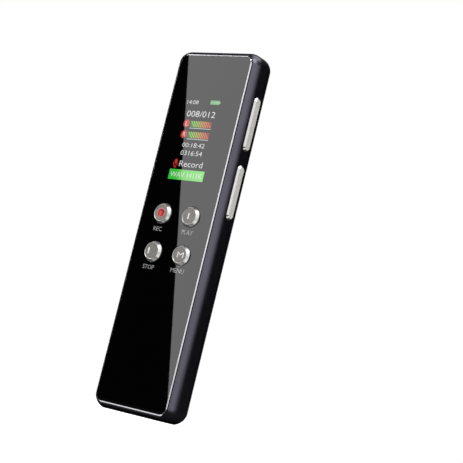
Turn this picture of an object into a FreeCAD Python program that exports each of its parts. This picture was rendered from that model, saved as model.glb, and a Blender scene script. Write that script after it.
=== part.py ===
"""Handheld voice recorder: a slim bar with glass on both faces and a metal frame between them.

Frame of the model, in millimetres: +Z runs up the length of the bar, -Y looks out of the
screen and +X is the side with the two rocker keys. The origin is the middle of the bottom end.
"""
import FreeCAD, Part
import math
import os

import Sketcher

DOCUMENT = FreeCAD.newDocument("voice_recorder")
V = FreeCAD.Vector

# ---------------------------------------------------------------------------------------------
# Driving dimensions
# ---------------------------------------------------------------------------------------------
DIMENSIONS = {
    # outer body
    "body_width": 27.8,
    "body_length": 101.8,       # before the bottom end is shaved
    "body_thickness": 9.0,
    "shoulder": 1.2,            # how far the frame's side stands out beyond its own edge
    "shoulder_radius": 4.0,
    "edge_corner": 2.5,         # corner radius of the frame's edge seen from the front
    "wall": 2.5,
    "foot_cut": 0.1,            # what is shaved off the bottom end to give it a flat
    # the two faces
    "face_drop": 0.3,           # from the rim's top down to the frame's edge
    "groove": 0.2,              # gap between the rim and the frame
    "lip": 0.03,               # the flat between the groove and the shoulder
    "rim_wall": 0.32,
    "rim_bevel": 0.3,
    "rim_bevel_drop": 0.22,
    "pane": 1.0,
    "pane_inset": 0.05,         # the glass lies this far below the rim
    "pane_gap": 0.02,
    "glue": 0.1,
    # screen
    "screen_x": -0.4,
    "screen_z": 75.6,
    "screen_width": 13.6,
    "screen_height": 26.0,
    "screen_gap": 0.05,
    "cell": 0.8,
    "backlight": 0.7,
    "backlight_edge": 0.4,
    # round keys on the front
    "key_x": 4.9,
    "key_upper_z": 54.4,
    "key_lower_z": 43.7,
    "key_diameter": 5.6,
    "key_top": 4.6,
    "key_edge": 0.08,
    "key_lip": 0.05,
    "key_slope": 0.08,
    "key_dish": 0.06,
    "key_proud": 0.95,
    "key_land": 0.15,
    "key_gap": 0.15,
    "key_flange": 7.4,
    "key_flange_wall": 0.4,
    "key_flange_gap": 0.05,
    "inlay_diameter": 2.1,
    "inlay_recess": 2.2,
    "inlay_depth": 0.3,
    # small push switches
    "switch_body": 3.2,
    "switch_height": 0.7,
    "plunger": 1.5,
    "plunger_gap": 0.05,
    "plunger_reach": 0.55,
    # rocker keys on the +X side
    "rocker_upper_z": 82.3,
    "rocker_lower_z": 63.2,
    "rocker_length": 15.2,
    "rocker_width": 2.8,
    "rocker_proud": 0.5,
    "rocker_bevel": 0.45,
    "rocker_gap": 0.15,
    "rocker_flange": 0.45,
    "rocker_flange_gap": 0.35,
    "rocker_flange_edge": 0.4,
    "rocker_switch_z": 6.0,
    "rocker_switch_gap": 0.3,
    "side_switch_long": 3.0,
    "side_switch_wide": 1.6,
    "side_switch_deep": 0.85,
    "side_board": 0.5,
    "side_board_width": 2.6,
    "side_board_length": 38.0,
    "side_board_z": 72.75,
    # power slide on the -X side
    "slide_z": 68.05,
    "slide_length": 6.7,
    "slide_width": 3.4,
    "slide_proud": 0.45,
    "slide_bevel": 0.3,
    "slide_gap": 0.15,
    "slide_travel": 1.7,
    "slide_flange": 0.45,
    "slide_flange_gap": 0.05,
    "slide_flange_length": 11.6,
    "slide_lever": 1.2,
    "slide_body_long": 11.6,
    "slide_body_deep": 2.8,
    "slide_body_wide": 2.4,
    # headphone socket on the -X side
    "jack_z": 91.8,
    "jack_bore": 3.6,
    "jack_ring": 4.7,
    "jack_ring_proud": 0.1,
    "jack_depth": 15.0,
    "jack_body": 5.0,
    "jack_body_long": 13.5,
    "fit_gap": 0.1,
    # USB-C socket on the -X side
    "usb_z": 80.45,
    "usb_long": 8.94,
    "usb_wide": 3.2,
    "usb_wall": 0.25,
    "usb_deep": 7.3,
    "usb_recess": 0.35,
    "usb_back_wall": 0.4,
    "tongue_long": 6.7,
    "tongue_wide": 0.7,
    "tongue_recess": 0.7,
    # board and what is on it
    "board": 0.8,
    "board_front": -1.9,        # Y of the board's front face
    "board_edge_gap": 0.5,
    "board_right": 10.0,
    "board_top": 97.2,
    "board_bottom": 15.6,
    "chip": 0.9,
    "processor": 7.0,
    "memory_long": 8.0,
    "memory_wide": 6.0,
    "codec": 4.0,
    "crystal_long": 3.2,
    "crystal_wide": 1.5,
    "can_long": 11.0,
    "can_wide": 6.2,
    "can_high": 1.7,
    "can_wall": 0.2,
    # battery and tray
    "battery_width": 17.0,
    "battery_length": 28.8,
    "battery_thickness": 3.8,
    "battery_bottom": 18.6,
    "battery_corner": 1.2,
    "tape": 0.15,
    "lead_diameter": 0.8,
    "lead_length": 1.8,
    "lead_spacing": 2.4,
    "plug_long": 5.0,
    "plug_wide": 2.6,
    "plug_high": 1.6,
    "tray_width": 21.4,
    "tray_bottom": 15.2,
    "tray_top": 53.2,
    "tray_wall": 1.2,
    "tray_depth": 4.3,
    "tray_corner": 1.5,
    "boss": 2.6,
    "boss_z": 1.9,
    "boss_x": 9.1,
    "screw_head": 2.0,
    "screw_head_high": 0.5,
    "screw_shank": 1.2,
    "screw_length": 3.0,
    # sound
    "mic_x": 5.0,
    "mic_hole": 1.0,
    "mic_long": 3.5,
    "mic_wide": 2.6,
    "mic_high": 1.0,
    "boot_wall": 0.9,
    "boot_diameter": 3.0,
    "speaker_long": 15.0,
    "speaker_high": 10.0,
    "speaker_deep": 3.0,
    "speaker_gap": 1.8,
    "speaker_corner": 2.0,
    "speaker_hole": 1.0,
    "speaker_hole_pitch": 2.0,
    "mesh": 0.15,
}
SPEAKER_HOLES = 6

dims = DOCUMENT.addObject("Spreadsheet::Sheet", "dims")
for row, (alias, value) in enumerate(DIMENSIONS.items(), start=1):
    dims.set(f"A{row}", alias)
    dims.set(f"B{row}", str(value))
    dims.setAlias(f"B{row}", alias)
DOCUMENT.recompute()


def bind(text):
    """Turn a formula in plain dimension names into one that points at the sheet."""
    out = []
    word = ""
    for letter in text + " ":
        if letter.isalnum() or letter == "_":
            word += letter
            continue
        out.append(f"dims.{word}" if word in DIMENSIONS else word)
        out.append(letter)
        word = ""
    return "".join(out).strip()


def value_of(text):
    """The number that a formula in dimension names stands for."""
    return float(DOCUMENT.dims.evalExpression(bind(text)))


# places that several sub-parts share, as formulas
SIDE = "body_width / 2"
FRONT = "(-body_thickness / 2)"
FRAME_HALF = "(body_thickness / 2 - face_drop)"
LEDGE = "(body_thickness / 2 - pane - glue)"
EDGE_HALF = "(body_width / 2 - shoulder)"
INNER_SIDE = "(body_width / 2 - wall)"
INNER_TOP = "(body_length - foot_cut - wall)"
FLOOR = "(wall - foot_cut)"
MIDDLE = "(body_length / 2 - foot_cut)"
SEAT_WIDTH = "(body_width - 2 * shoulder - 2 * lip)"
SEAT_LENGTH = "(body_length - 2 * shoulder - 2 * lip)"
SEAT_CORNER = "(edge_corner - lip)"
RIM_WIDTH = f"({SEAT_WIDTH} - 2 * groove)"
RIM_LENGTH = f"({SEAT_LENGTH} - 2 * groove)"
RIM_CORNER = f"({SEAT_CORNER} - groove)"
PANE_WIDTH = f"({RIM_WIDTH} - 2 * rim_wall - 2 * pane_gap)"
PANE_LENGTH = f"({RIM_LENGTH} - 2 * rim_wall - 2 * pane_gap)"
PANE_CORNER = f"({RIM_CORNER} - rim_wall - pane_gap)"
BOARD_BACK = "(board_front + board)"
KEY_BOTTOM = f"({FRONT} + pane + key_flange_gap + key_flange_wall)"
KEY_FACE = f"({FRONT} - key_proud + key_dish)"
INLAY_FLOOR = f"({KEY_FACE} + inlay_depth)"
ROCKER_INNER = f"({INNER_SIDE} - rocker_flange_gap - rocker_flange)"
SIDE_SWITCH_TOP = f"({ROCKER_INNER} - rocker_switch_gap)"
SIDE_BOARD_TOP = f"({SIDE_SWITCH_TOP} - side_switch_deep)"
SLIDE_INNER = f"({INNER_SIDE} - slide_flange_gap - slide_flange)"


# ---------------------------------------------------------------------------------------------
# Tools for the history of each body
# ---------------------------------------------------------------------------------------------
def new_body(label):
    body = DOCUMENT.addObject("PartDesign::Body", label)
    body.Label = label
    return body


def plane_of(body, role):
    return next(f for f in body.Origin.OriginFeatures if f.Role == role)


def new_sketch(body, name, role, u="0", v="0", w="0"):
    """A sketch on one of the body's own planes. XZ looks along -Y, XY along +Z, YZ along +X."""
    sketch = body.newObject("Sketcher::SketchObject", name)
    sketch.AttachmentSupport = [(plane_of(body, role), "")]
    sketch.MapMode = "FlatFace"
    for axis, place in zip("xyz", (u, v, w)):
        if place != "0":
            sketch.setExpression(f"AttachmentOffset.Base.{axis}", bind(place))
    return sketch


def name_size(sketch, constraint, name, size):
    """Add a driving constraint and bind it to the sheet."""
    index = sketch.addConstraint(constraint)
    sketch.renameConstraint(index, name)
    sketch.setExpression(f"Constraints.{name}", bind(size))


def circle(sketch, diameter, u="0", v="0"):
    """A circle whose centre is at (u, v), each a formula."""
    at = V(value_of(u), value_of(v), 0)
    radius = value_of(diameter) / 2
    g = sketch.addGeometry(Part.Circle(at, V(0, 0, 1), radius))
    name_size(sketch, Sketcher.Constraint("Radius", g, radius), f"Radius{g}", f"({diameter}) / 2")
    if u == v == "0":
        sketch.addConstraint(Sketcher.Constraint("Coincident", g, 3, -1, 1))
        return
    across = Sketcher.Constraint("DistanceX", -1, 1, g, 3, at.x)
    name_size(sketch, across, f"Across{g}", u)
    along = Sketcher.Constraint("DistanceY", -1, 1, g, 3, at.y)
    name_size(sketch, along, f"Along{g}", v)


def rectangle(sketch, width, height):
    """A rectangle about the sketch's origin."""
    w, h = value_of(width) / 2, value_of(height) / 2
    corners = [V(-w, -h, 0), V(w, -h, 0), V(w, h, 0), V(-w, h, 0)]
    g = [sketch.addGeometry(Part.LineSegment(corners[i], corners[(i + 1) % 4])) for i in range(4)]
    for i in range(4):
        sketch.addConstraint(Sketcher.Constraint("Coincident", g[i], 2, g[(i + 1) % 4], 1))
        sketch.addConstraint(Sketcher.Constraint("Vertical" if i % 2 else "Horizontal", g[i]))
    sketch.addConstraint(Sketcher.Constraint("Symmetric", g[0], 1, g[2], 1, -1, 1))
    n = g[0]
    name_size(sketch, Sketcher.Constraint("DistanceX", g[0], 1, g[0], 2, 2 * w), f"Width{n}", width)
    name_size(sketch, Sketcher.Constraint("DistanceY", g[1], 1, g[1], 2, 2 * h), f"Height{n}", height)


def rounded_rectangle(sketch, width, height, corner):
    """A rectangle with round corners about the sketch's origin."""
    w, h, r = value_of(width) / 2, value_of(height) / 2, value_of(corner)
    sides = [
        (V(-w + r, -h, 0), V(w - r, -h, 0)),
        (V(w, -h + r, 0), V(w, h - r, 0)),
        (V(w - r, h, 0), V(-w + r, h, 0)),
        (V(-w, h - r, 0), V(-w, -h + r, 0)),
    ]
    centres = [V(w - r, -h + r, 0), V(w - r, h - r, 0), V(-w + r, h - r, 0), V(-w + r, -h + r, 0)]
    lines = [sketch.addGeometry(Part.LineSegment(a, b)) for a, b in sides]
    arcs = []
    for i, centre in enumerate(centres):
        start = (i - 1) * math.pi / 2
        arc = Part.ArcOfCircle(Part.Circle(centre, V(0, 0, 1), r), start, start + math.pi / 2)
        arcs.append(sketch.addGeometry(arc))
    for i in range(4):
        sketch.addConstraint(Sketcher.Constraint("Tangent", lines[i], 2, arcs[i], 1))
        sketch.addConstraint(Sketcher.Constraint("Tangent", arcs[i], 2, lines[(i + 1) % 4], 1))
        sketch.addConstraint(Sketcher.Constraint("Vertical" if i % 2 else "Horizontal", lines[i]))
    for i in (1, 2, 3):
        sketch.addConstraint(Sketcher.Constraint("Equal", arcs[0], arcs[i]))
    sketch.addConstraint(Sketcher.Constraint("Symmetric", arcs[0], 3, arcs[2], 3, -1, 1))
    n = lines[0]
    name_size(sketch, Sketcher.Constraint("Radius", arcs[0], r), f"Corner{n}", corner)
    across = Sketcher.Constraint("DistanceX", lines[3], 1, lines[1], 1, 2 * w)
    name_size(sketch, across, f"Width{n}", width)
    along = Sketcher.Constraint("DistanceY", lines[0], 1, lines[2], 1, 2 * h)
    name_size(sketch, along, f"Height{n}", height)


def pill(sketch, length, width):
    """A slot with half-round ends about the sketch's origin, its length along the sketch's Y."""
    half, r = (value_of(length) - value_of(width)) / 2, value_of(width) / 2
    right = sketch.addGeometry(Part.LineSegment(V(r, -half, 0), V(r, half, 0)))
    left = sketch.addGeometry(Part.LineSegment(V(-r, half, 0), V(-r, -half, 0)))
    top_circle = Part.Circle(V(0, half, 0), V(0, 0, 1), r)
    top = sketch.addGeometry(Part.ArcOfCircle(top_circle, 0, math.pi))
    low_circle = Part.Circle(V(0, -half, 0), V(0, 0, 1), r)
    low = sketch.addGeometry(Part.ArcOfCircle(low_circle, math.pi, 2 * math.pi))
    for a, end_a, b, end_b in ((right, 2, top, 1), (top, 2, left, 1), (left, 2, low, 1), (low, 2, right, 1)):
        sketch.addConstraint(Sketcher.Constraint("Tangent", a, end_a, b, end_b))
    sketch.addConstraint(Sketcher.Constraint("Vertical", right))
    sketch.addConstraint(Sketcher.Constraint("Equal", top, low))
    sketch.addConstraint(Sketcher.Constraint("Symmetric", top, 3, low, 3, -1, 1))
    n = right
    name_size(sketch, Sketcher.Constraint("Radius", top, r), f"Round{n}", f"({width}) / 2")
    span = Sketcher.Constraint("DistanceY", low, 3, top, 3, 2 * half)
    name_size(sketch, span, f"Span{n}", f"({length}) - ({width})")


def polygon(sketch, points):
    """A closed outline of straight runs through (u, v) formulas."""
    at = [V(value_of(u), value_of(v), 0) for u, v in points]
    count = len(points)
    g = [sketch.addGeometry(Part.LineSegment(at[i], at[(i + 1) % count])) for i in range(count)]
    for i in range(count):
        sketch.addConstraint(Sketcher.Constraint("Coincident", g[i], 2, g[(i + 1) % count], 1))
    for i, (u, v) in enumerate(points):
        across = Sketcher.Constraint("DistanceX", -1, 1, g[i], 1, at[i].x)
        name_size(sketch, across, f"Across{i}", u)
        along = Sketcher.Constraint("DistanceY", -1, 1, g[i], 1, at[i].y)
        name_size(sketch, along, f"Along{i}", v)


def pad(body, sketch, length, name="Pad"):
    """Grow the sketch along its own normal."""
    feature = body.newObject("PartDesign::Pad", name)
    feature.Profile = sketch
    feature.setExpression("Length", bind(length))
    sketch.Visibility = False
    DOCUMENT.recompute()
    return feature


def pocket(body, sketch, depth, name, along_normal=False):
    """Cut the sketch out of the body, against its normal or along it, and prove that it cut."""
    before = body.Shape.Volume
    feature = body.newObject("PartDesign::Pocket", name)
    feature.Profile = sketch
    feature.Reversed = along_normal
    feature.setExpression("Length", bind(depth))
    DOCUMENT.recompute()
    if body.Shape.Volume > before - 1e-4:
        raise RuntimeError(f"{body.Label}: {name} cut nothing")
    return feature


def edges_where(feature, test):
    """The names of a feature's edges that pass a test on their shape."""
    return [f"Edge{i}" for i, edge in enumerate(feature.Shape.Edges, start=1) if test(edge)]


def dress(body, kind, base, names, size, name):
    """A fillet or chamfer of one size on the named edges."""
    feature = body.newObject(f"PartDesign::{kind}", name)
    feature.Base = (base, names)
    feature.setExpression("Radius" if kind == "Fillet" else "Size", bind(size))
    DOCUMENT.recompute()
    return feature


def revolve(body, sketch, axis, name="Turned"):
    feature = body.newObject("PartDesign::Revolution", name)
    feature.Profile = sketch
    feature.ReferenceAxis = (sketch, [axis])
    feature.Angle = 360.0
    DOCUMENT.recompute()
    return feature


def block(label, x, y, z):
    """A plain box from the low and high formulas on each axis."""
    box = DOCUMENT.addObject("Part::Box", label)
    box.Label = label
    for side, axis, (low, high) in zip(("Length", "Width", "Height"), "xyz", (x, y, z)):
        box.setExpression(side, bind(f"({high}) - ({low})"))
        box.setExpression(f"Placement.Base.{axis}", bind(low))
    return box


def about(centre, size):
    """The low and high formulas of a span about its middle."""
    return f"({centre}) - ({size}) / 2", f"({centre}) + ({size}) / 2"


def slab(label, width, height, thickness, x, z, back, corner=None):
    """A plate in the XZ plane: its back face is at Y = back and it grows towards -Y."""
    body = new_body(label)
    sketch = new_sketch(body, "Outline", "XZ_Plane", x, z, f"-({back})")
    if corner:
        rounded_rectangle(sketch, width, height, corner)
    else:
        rectangle(sketch, width, height)
    pad(body, sketch, thickness)
    return body


# ---------------------------------------------------------------------------------------------
# Case
# ---------------------------------------------------------------------------------------------
def middle_frame():
    """The metal ring that everything sits in. Its outside is a flat land between two shoulders."""
    body = new_body("middle_frame")

    path = new_sketch(body, "EdgePath", "XZ_Plane", "0", MIDDLE)
    width = "body_width - 2 * shoulder"
    length = "body_length - 2 * shoulder"
    rounded_rectangle(path, width, length, "edge_corner")

    section = new_sketch(body, "Section", "XY_Plane", "0", "0", MIDDLE)
    side, edge = value_of(SIDE), value_of(EDGE_HALF)
    half, inner = value_of(FRAME_HALF), value_of(INNER_SIDE)
    seat, ledge = value_of(f"{SEAT_WIDTH} / 2"), value_of(LEDGE)
    radius = value_of("shoulder_radius")
    centre_y = half - math.sqrt(radius**2 - (radius - (side - edge)) ** 2)
    swing = math.asin((half - centre_y) / radius)
    upper_circle = Part.Circle(V(side - radius, centre_y, 0), V(0, 0, 1), radius)
    lower_circle = Part.Circle(V(side - radius, -centre_y, 0), V(0, 0, 1), radius)
    land = section.addGeometry(Part.LineSegment(V(side, -centre_y, 0), V(side, centre_y, 0)))
    upper = section.addGeometry(Part.ArcOfCircle(upper_circle, 0, swing))
    lower = section.addGeometry(Part.ArcOfCircle(lower_circle, -swing, 0))
    inside = [
        V(edge, half, 0), V(seat, half, 0), V(seat, ledge, 0), V(inner, ledge, 0),
        V(inner, -ledge, 0), V(seat, -ledge, 0), V(seat, -half, 0), V(edge, -half, 0),
    ]
    walls = [section.addGeometry(Part.LineSegment(a, b)) for a, b in zip(inside, inside[1:])]
    section.addConstraint(Sketcher.Constraint("Tangent", land, 2, upper, 1))
    section.addConstraint(Sketcher.Constraint("Tangent", lower, 2, land, 1))
    section.addConstraint(Sketcher.Constraint("Coincident", upper, 2, walls[0], 1))
    section.addConstraint(Sketcher.Constraint("Coincident", walls[-1], 2, lower, 1))
    for a, b in zip(walls, walls[1:]):
        section.addConstraint(Sketcher.Constraint("Coincident", a, 2, b, 1))
    for i, wall in enumerate(walls):
        if i != 3:              # this one is upright already, by the symmetry of its ends
            section.addConstraint(Sketcher.Constraint("Vertical" if i % 2 else "Horizontal", wall))
    section.addConstraint(Sketcher.Constraint("Equal", upper, lower))
    section.addConstraint(Sketcher.Constraint("Symmetric", walls[0], 1, walls[-1], 2, -1))
    section.addConstraint(Sketcher.Constraint("Symmetric", walls[2], 2, walls[4], 1, -1))
    sizes = (
        ("Land", Sketcher.Constraint("DistanceX", -1, 1, land, 2, side), SIDE),
        ("Shoulder", Sketcher.Constraint("Radius", upper, radius), "shoulder_radius"),
        ("EdgeX", Sketcher.Constraint("DistanceX", -1, 1, walls[0], 1, edge), EDGE_HALF),
        ("EdgeY", Sketcher.Constraint("DistanceY", -1, 1, walls[0], 1, half), FRAME_HALF),
        ("SeatX", Sketcher.Constraint("DistanceX", -1, 1, walls[1], 1, seat), f"{SEAT_WIDTH} / 2"),
        ("LedgeY", Sketcher.Constraint("DistanceY", -1, 1, walls[2], 1, ledge), LEDGE),
        ("InnerX", Sketcher.Constraint("DistanceX", -1, 1, walls[3], 1, inner), INNER_SIDE),
        ("LowSeatX", Sketcher.Constraint("DistanceX", -1, 1, walls[5], 1, seat), f"{SEAT_WIDTH} / 2"),
    )
    for name, constraint, size in sizes:
        name_size(section, constraint, name, size)
    DOCUMENT.recompute()

    ring = body.newObject("PartDesign::AdditivePipe", "Ring")
    ring.Profile = section
    ring.Spine = (path, [f"Edge{i}" for i in range(1, 9)])
    ring.Mode = "Frenet"
    DOCUMENT.recompute()

    foot = new_sketch(body, "FootOutline", "XY_Plane")
    rectangle(foot, "body_width", "body_thickness")
    pocket(body, foot, "foot_cut", "Foot")

    outside = f"({SIDE} + 1)"
    through = "wall + 1.5"
    left = new_sketch(body, "JackHoleOutline", "YZ_Plane", "0", "jack_z", f"-{outside}")
    circle(left, "jack_ring + 2 * fit_gap")
    pocket(body, left, through, "JackHole", along_normal=True)

    usb = new_sketch(body, "UsbHoleOutline", "YZ_Plane", "0", "usb_z", f"-{outside}")
    pill(usb, "usb_long + 2 * fit_gap", "usb_wide + 2 * fit_gap")
    pocket(body, usb, through, "UsbHole", along_normal=True)

    slide_length = "slide_length + slide_travel + 2 * slide_gap"
    slide = new_sketch(
        body, "SlideSlotOutline", "YZ_Plane", "0", "slide_z - slide_travel / 2", f"-{outside}"
    )
    pill(slide, slide_length, "slide_width + 2 * slide_gap")
    pocket(body, slide, through, "SlideSlot", along_normal=True)

    for name, place in (("UpperSlot", "rocker_upper_z"), ("LowerSlot", "rocker_lower_z")):
        slot = new_sketch(body, f"{name}Outline", "YZ_Plane", "0", place, outside)
        pill(slot, "rocker_length + 2 * rocker_gap", "rocker_width + 2 * rocker_gap")
        pocket(body, slot, through, name)

    mics = new_sketch(body, "MicHoleCentres", "XY_Plane", "0", "0", "body_length + 1")
    for x in ("mic_x", "-mic_x"):
        circle(mics, "mic_hole", x, "0")
    pocket(body, mics, through, "MicHoles")

    sound = new_sketch(body, "SpeakerHoleCentres", "XY_Plane", "0", "0", "-1")
    for i in range(SPEAKER_HOLES):
        circle(sound, "speaker_hole", f"speaker_hole_pitch * {i - (SPEAKER_HOLES - 1) / 2}", "0")
    pocket(body, sound, through, "SpeakerHoles", along_normal=True)
    return body


def rim(label, face):
    """A bright metal hoop round one face, its outer corner bevelled. face is -1 front, 1 back."""
    body = new_body(label)
    back = FRONT + " + pane" if face < 0 else "body_thickness / 2"
    outline = new_sketch(body, "Outline", "XZ_Plane", "0", MIDDLE, f"-({back})")
    rounded_rectangle(outline, RIM_WIDTH, RIM_LENGTH, RIM_CORNER)
    solid = pad(body, outline, "pane")
    top = value_of("body_thickness / 2") * face
    names = edges_where(solid, lambda e: all(abs(v.Point.y - top) < 1e-4 for v in e.Vertexes))
    bevel = dress(body, "Chamfer", solid, names, "rim_bevel", "Bevel")
    bevel.ChamferType = "Two distances"
    bevel.FlipDirection = True
    bevel.setExpression("Size", bind("rim_bevel"))
    bevel.setExpression("Size2", bind("rim_bevel_drop"))
    DOCUMENT.recompute()
    opening = new_sketch(body, "Opening", "XZ_Plane", "0", MIDDLE, f"-({back})")
    rounded_rectangle(
        opening,
        f"{RIM_WIDTH} - 2 * rim_wall",
        f"{RIM_LENGTH} - 2 * rim_wall",
        f"{RIM_CORNER} - rim_wall",
    )
    pocket(body, opening, "pane", "Bore", along_normal=True)
    return body


def pane(label, face):
    """The glass that fills a rim."""
    back = FRONT + " + pane" if face < 0 else "body_thickness / 2 - pane_inset"
    return slab(
        label, PANE_WIDTH, PANE_LENGTH, "pane - pane_inset", "0", MIDDLE, back, PANE_CORNER
    )


KEYS = {
    "record": ("-key_x", "key_upper_z"),
    "play": ("key_x", "key_upper_z"),
    "stop": ("-key_x", "key_lower_z"),
    "menu": ("key_x", "key_lower_z"),
}


def front_glass():
    body = pane("front_glass", -1)
    holes = new_sketch(body, "KeyHoles", "XZ_Plane", "0", "0", f"-({FRONT})")
    for x, z in KEYS.values():
        circle(holes, "key_diameter + 2 * key_gap", x, z)
    pocket(body, holes, "pane", "Holes")
    return body


def glue(label, face):
    """A thin frame of adhesive between a face and the ledge in the frame."""
    back = f"-({LEDGE})" if face < 0 else "body_thickness / 2 - pane"
    body = slab(label, RIM_WIDTH, RIM_LENGTH, "glue", "0", MIDDLE, back, RIM_CORNER)
    opening = new_sketch(body, "Opening", "XZ_Plane", "0", MIDDLE, f"-({back})")
    inner_width = f"2 * {INNER_SIDE} + 2 * fit_gap"
    inner_length = "body_length - 2 * wall + 2 * fit_gap"
    rounded_rectangle(opening, inner_width, inner_length, "edge_corner + shoulder - wall + fit_gap")
    pocket(body, opening, "glue", "Window", along_normal=True)
    return body


# ---------------------------------------------------------------------------------------------
# Screen
# ---------------------------------------------------------------------------------------------
CELL_FRONT = f"({FRONT} + pane + screen_gap)"
CELL_BACK = f"({CELL_FRONT} + cell)"
LIGHT_BACK = f"({CELL_BACK} + backlight)"
FLEX_WIDTH = 8.0
FLEX_WALL = 0.12


def display_panel():
    """The screen's glass cell, close behind the front glass."""
    return slab(
        "display_panel", "screen_width", "screen_height", "cell", "screen_x", "screen_z",
        CELL_BACK, "screen_gap * 8",
    )


def display_backlight():
    """The frame behind the cell, a little wider than it, that lights it."""
    width = "screen_width + 2 * backlight_edge"
    height = "screen_height + 2 * backlight_edge"
    return slab(
        "display_backlight", width, height, "backlight", "screen_x", "screen_z", LIGHT_BACK,
        "backlight_edge * 2",
    )


def display_connector():
    """The socket on the board that takes the screen's flex."""
    low = f"screen_z - screen_height / 2 - 4.4"
    x = about("screen_x", f"{FLEX_WIDTH} + 1")
    return block("display_connector", x, ("board_front - 0.6", "board_front"), (low, f"{low} + 1.6"))


def display_flex():
    """A folded strip from the cell's lower edge down to the connector."""
    body = new_body("display_flex")
    sketch = new_sketch(body, "Fold", "YZ_Plane", "0", "0", f"screen_x - {FLEX_WIDTH / 2}")
    cell_edge = "screen_z - screen_height / 2"
    plug_top = f"{cell_edge} - 2.8"
    from_y = f"{CELL_BACK} - cell / 2"
    to_y = "board_front - 0.35"
    polygon(sketch, [
        (from_y, cell_edge),
        (from_y, f"{cell_edge} - 0.7"),
        (to_y, f"{cell_edge} - 1.8"),
        (to_y, plug_top),
        (f"{to_y} + {FLEX_WALL}", plug_top),
        (f"{to_y} + {FLEX_WALL}", f"{cell_edge} - 1.7"),
        (f"{from_y} + {FLEX_WALL}", f"{cell_edge} - 0.6"),
        (f"{from_y} + {FLEX_WALL}", cell_edge),
    ])
    pad(body, sketch, str(FLEX_WIDTH))
    return body


# ---------------------------------------------------------------------------------------------
# Round keys and their switches
# ---------------------------------------------------------------------------------------------
def key_cap(name):
    """A turned metal cap: a flange that the glass holds in, a tapered wall, a lip and a sunk face."""
    body = new_body(f"{name}_button")
    x, z = KEYS[name]
    sketch = new_sketch(body, "HalfSection", "XY_Plane", x, "0", z)
    top = f"{FRONT} - key_proud"
    flange_top = f"{FRONT} + pane + key_flange_gap"
    outline = [
        ("0", KEY_BOTTOM),
        ("key_flange / 2", KEY_BOTTOM),
        ("key_flange / 2", flange_top),
        ("key_diameter / 2", flange_top),
        ("key_diameter / 2", f"{FRONT} - key_land"),
        ("key_top / 2 + key_edge", f"{top} + key_edge"),
        ("key_top / 2", top),
        ("key_top / 2 - key_lip", top),
        ("key_top / 2 - key_lip - key_slope", KEY_FACE),
    ]
    if name == "record":
        outline += [("inlay_recess / 2", KEY_FACE), ("inlay_recess / 2", INLAY_FLOOR), ("0", INLAY_FLOOR)]
    else:
        outline += [("0", KEY_FACE)]
    polygon(sketch, outline)
    DOCUMENT.recompute()
    revolve(body, sketch, "V_Axis")
    return body


def record_inlay():
    """The red disc set into the record key's recess, its top dished."""
    body = new_body("record_inlay")
    x, z = KEYS["record"]
    sketch = new_sketch(body, "HalfSection", "XY_Plane", x, "0", z)
    polygon(sketch, [
        ("0", INLAY_FLOOR),
        ("inlay_diameter / 2", INLAY_FLOOR),
        ("inlay_diameter / 2", f"{INLAY_FLOOR} - inlay_depth * 0.95"),
        ("inlay_diameter * 0.44", f"{INLAY_FLOOR} - inlay_depth * 0.84"),
        ("inlay_diameter * 0.32", f"{INLAY_FLOOR} - inlay_depth * 0.68"),
        ("inlay_diameter * 0.16", f"{INLAY_FLOOR} - inlay_depth * 0.56"),
        ("0", f"{INLAY_FLOOR} - inlay_depth * 0.52"),
    ])
    DOCUMENT.recompute()
    revolve(body, sketch, "V_Axis")
    return body


def key_plunger(name):
    """The push switch's own button, which the cap carries down with it."""
    body = new_body(f"{name}_plunger")
    x, z = KEYS[name]
    sketch = new_sketch(body, "Outline", "XZ_Plane", x, z, f"-({KEY_BOTTOM} + plunger_reach)")
    circle(sketch, "plunger")
    pad(body, sketch, "plunger_reach")
    return body


def group(label, pieces):
    """Identical pieces that share one node, as separate solids."""
    compound = DOCUMENT.addObject("Part::Compound", label)
    compound.Label = label
    compound.Links = pieces
    return compound


def front_switch(name):
    """One push switch on the board's front face, bored for its plunger."""
    x, z = KEYS[name]
    body = slab(
        f"{name}_switch_body", "switch_body", "switch_body", "switch_height", x, z,
        "board_front", "switch_body / 8",
    )
    bore = new_sketch(body, "BoreOutline", "XZ_Plane", x, z, "-(board_front - switch_height)")
    circle(bore, "plunger + 2 * plunger_gap")
    pocket(body, bore, "switch_height - 0.12", "Bore")
    return body


# ---------------------------------------------------------------------------------------------
# Rocker keys on the +X side
# ---------------------------------------------------------------------------------------------
def bevelled_bar(label, sign, z, length, width, proud, bevel, flange, flange_inner, extra):
    """A pill-shaped key in a side wall: a bevelled head outside and a flange inside.

    sign is 1 on the +X side and -1 on the -X side. flange_inner is the flange's inner X, and
    extra is (length, width) of the flange.
    """
    body = new_body(label)
    head_length = f"{SIDE} + {proud} - ({flange_inner})"
    start = flange_inner if sign > 0 else f"-({SIDE} + {proud})"
    head = new_sketch(body, "HeadOutline", "YZ_Plane", "0", z, start)
    pill(head, length, width)
    solid = pad(body, head, head_length, "Head")
    tip = value_of(f"{SIDE} + {proud}") * sign
    names = edges_where(solid, lambda e: all(abs(v.Point.x - tip) < 1e-4 for v in e.Vertexes))
    dress(body, "Chamfer", solid, names, bevel, "Bevel")
    flange_start = flange_inner if sign > 0 else f"-({flange_inner}) - {flange}"
    plate = new_sketch(body, "FlangeOutline", "YZ_Plane", "0", z, flange_start)
    rounded_rectangle(plate, extra[1], extra[0], f"{width} / 4")
    pad(body, plate, flange, "Flange")
    return body


def rocker(label, z):
    edge = "2 * rocker_flange_edge"
    return bevelled_bar(
        label, 1, z, "rocker_length", "rocker_width", "rocker_proud", "rocker_bevel",
        "rocker_flange", ROCKER_INNER,
        (f"rocker_length + {edge}", f"rocker_width + {edge}"),
    )


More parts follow.
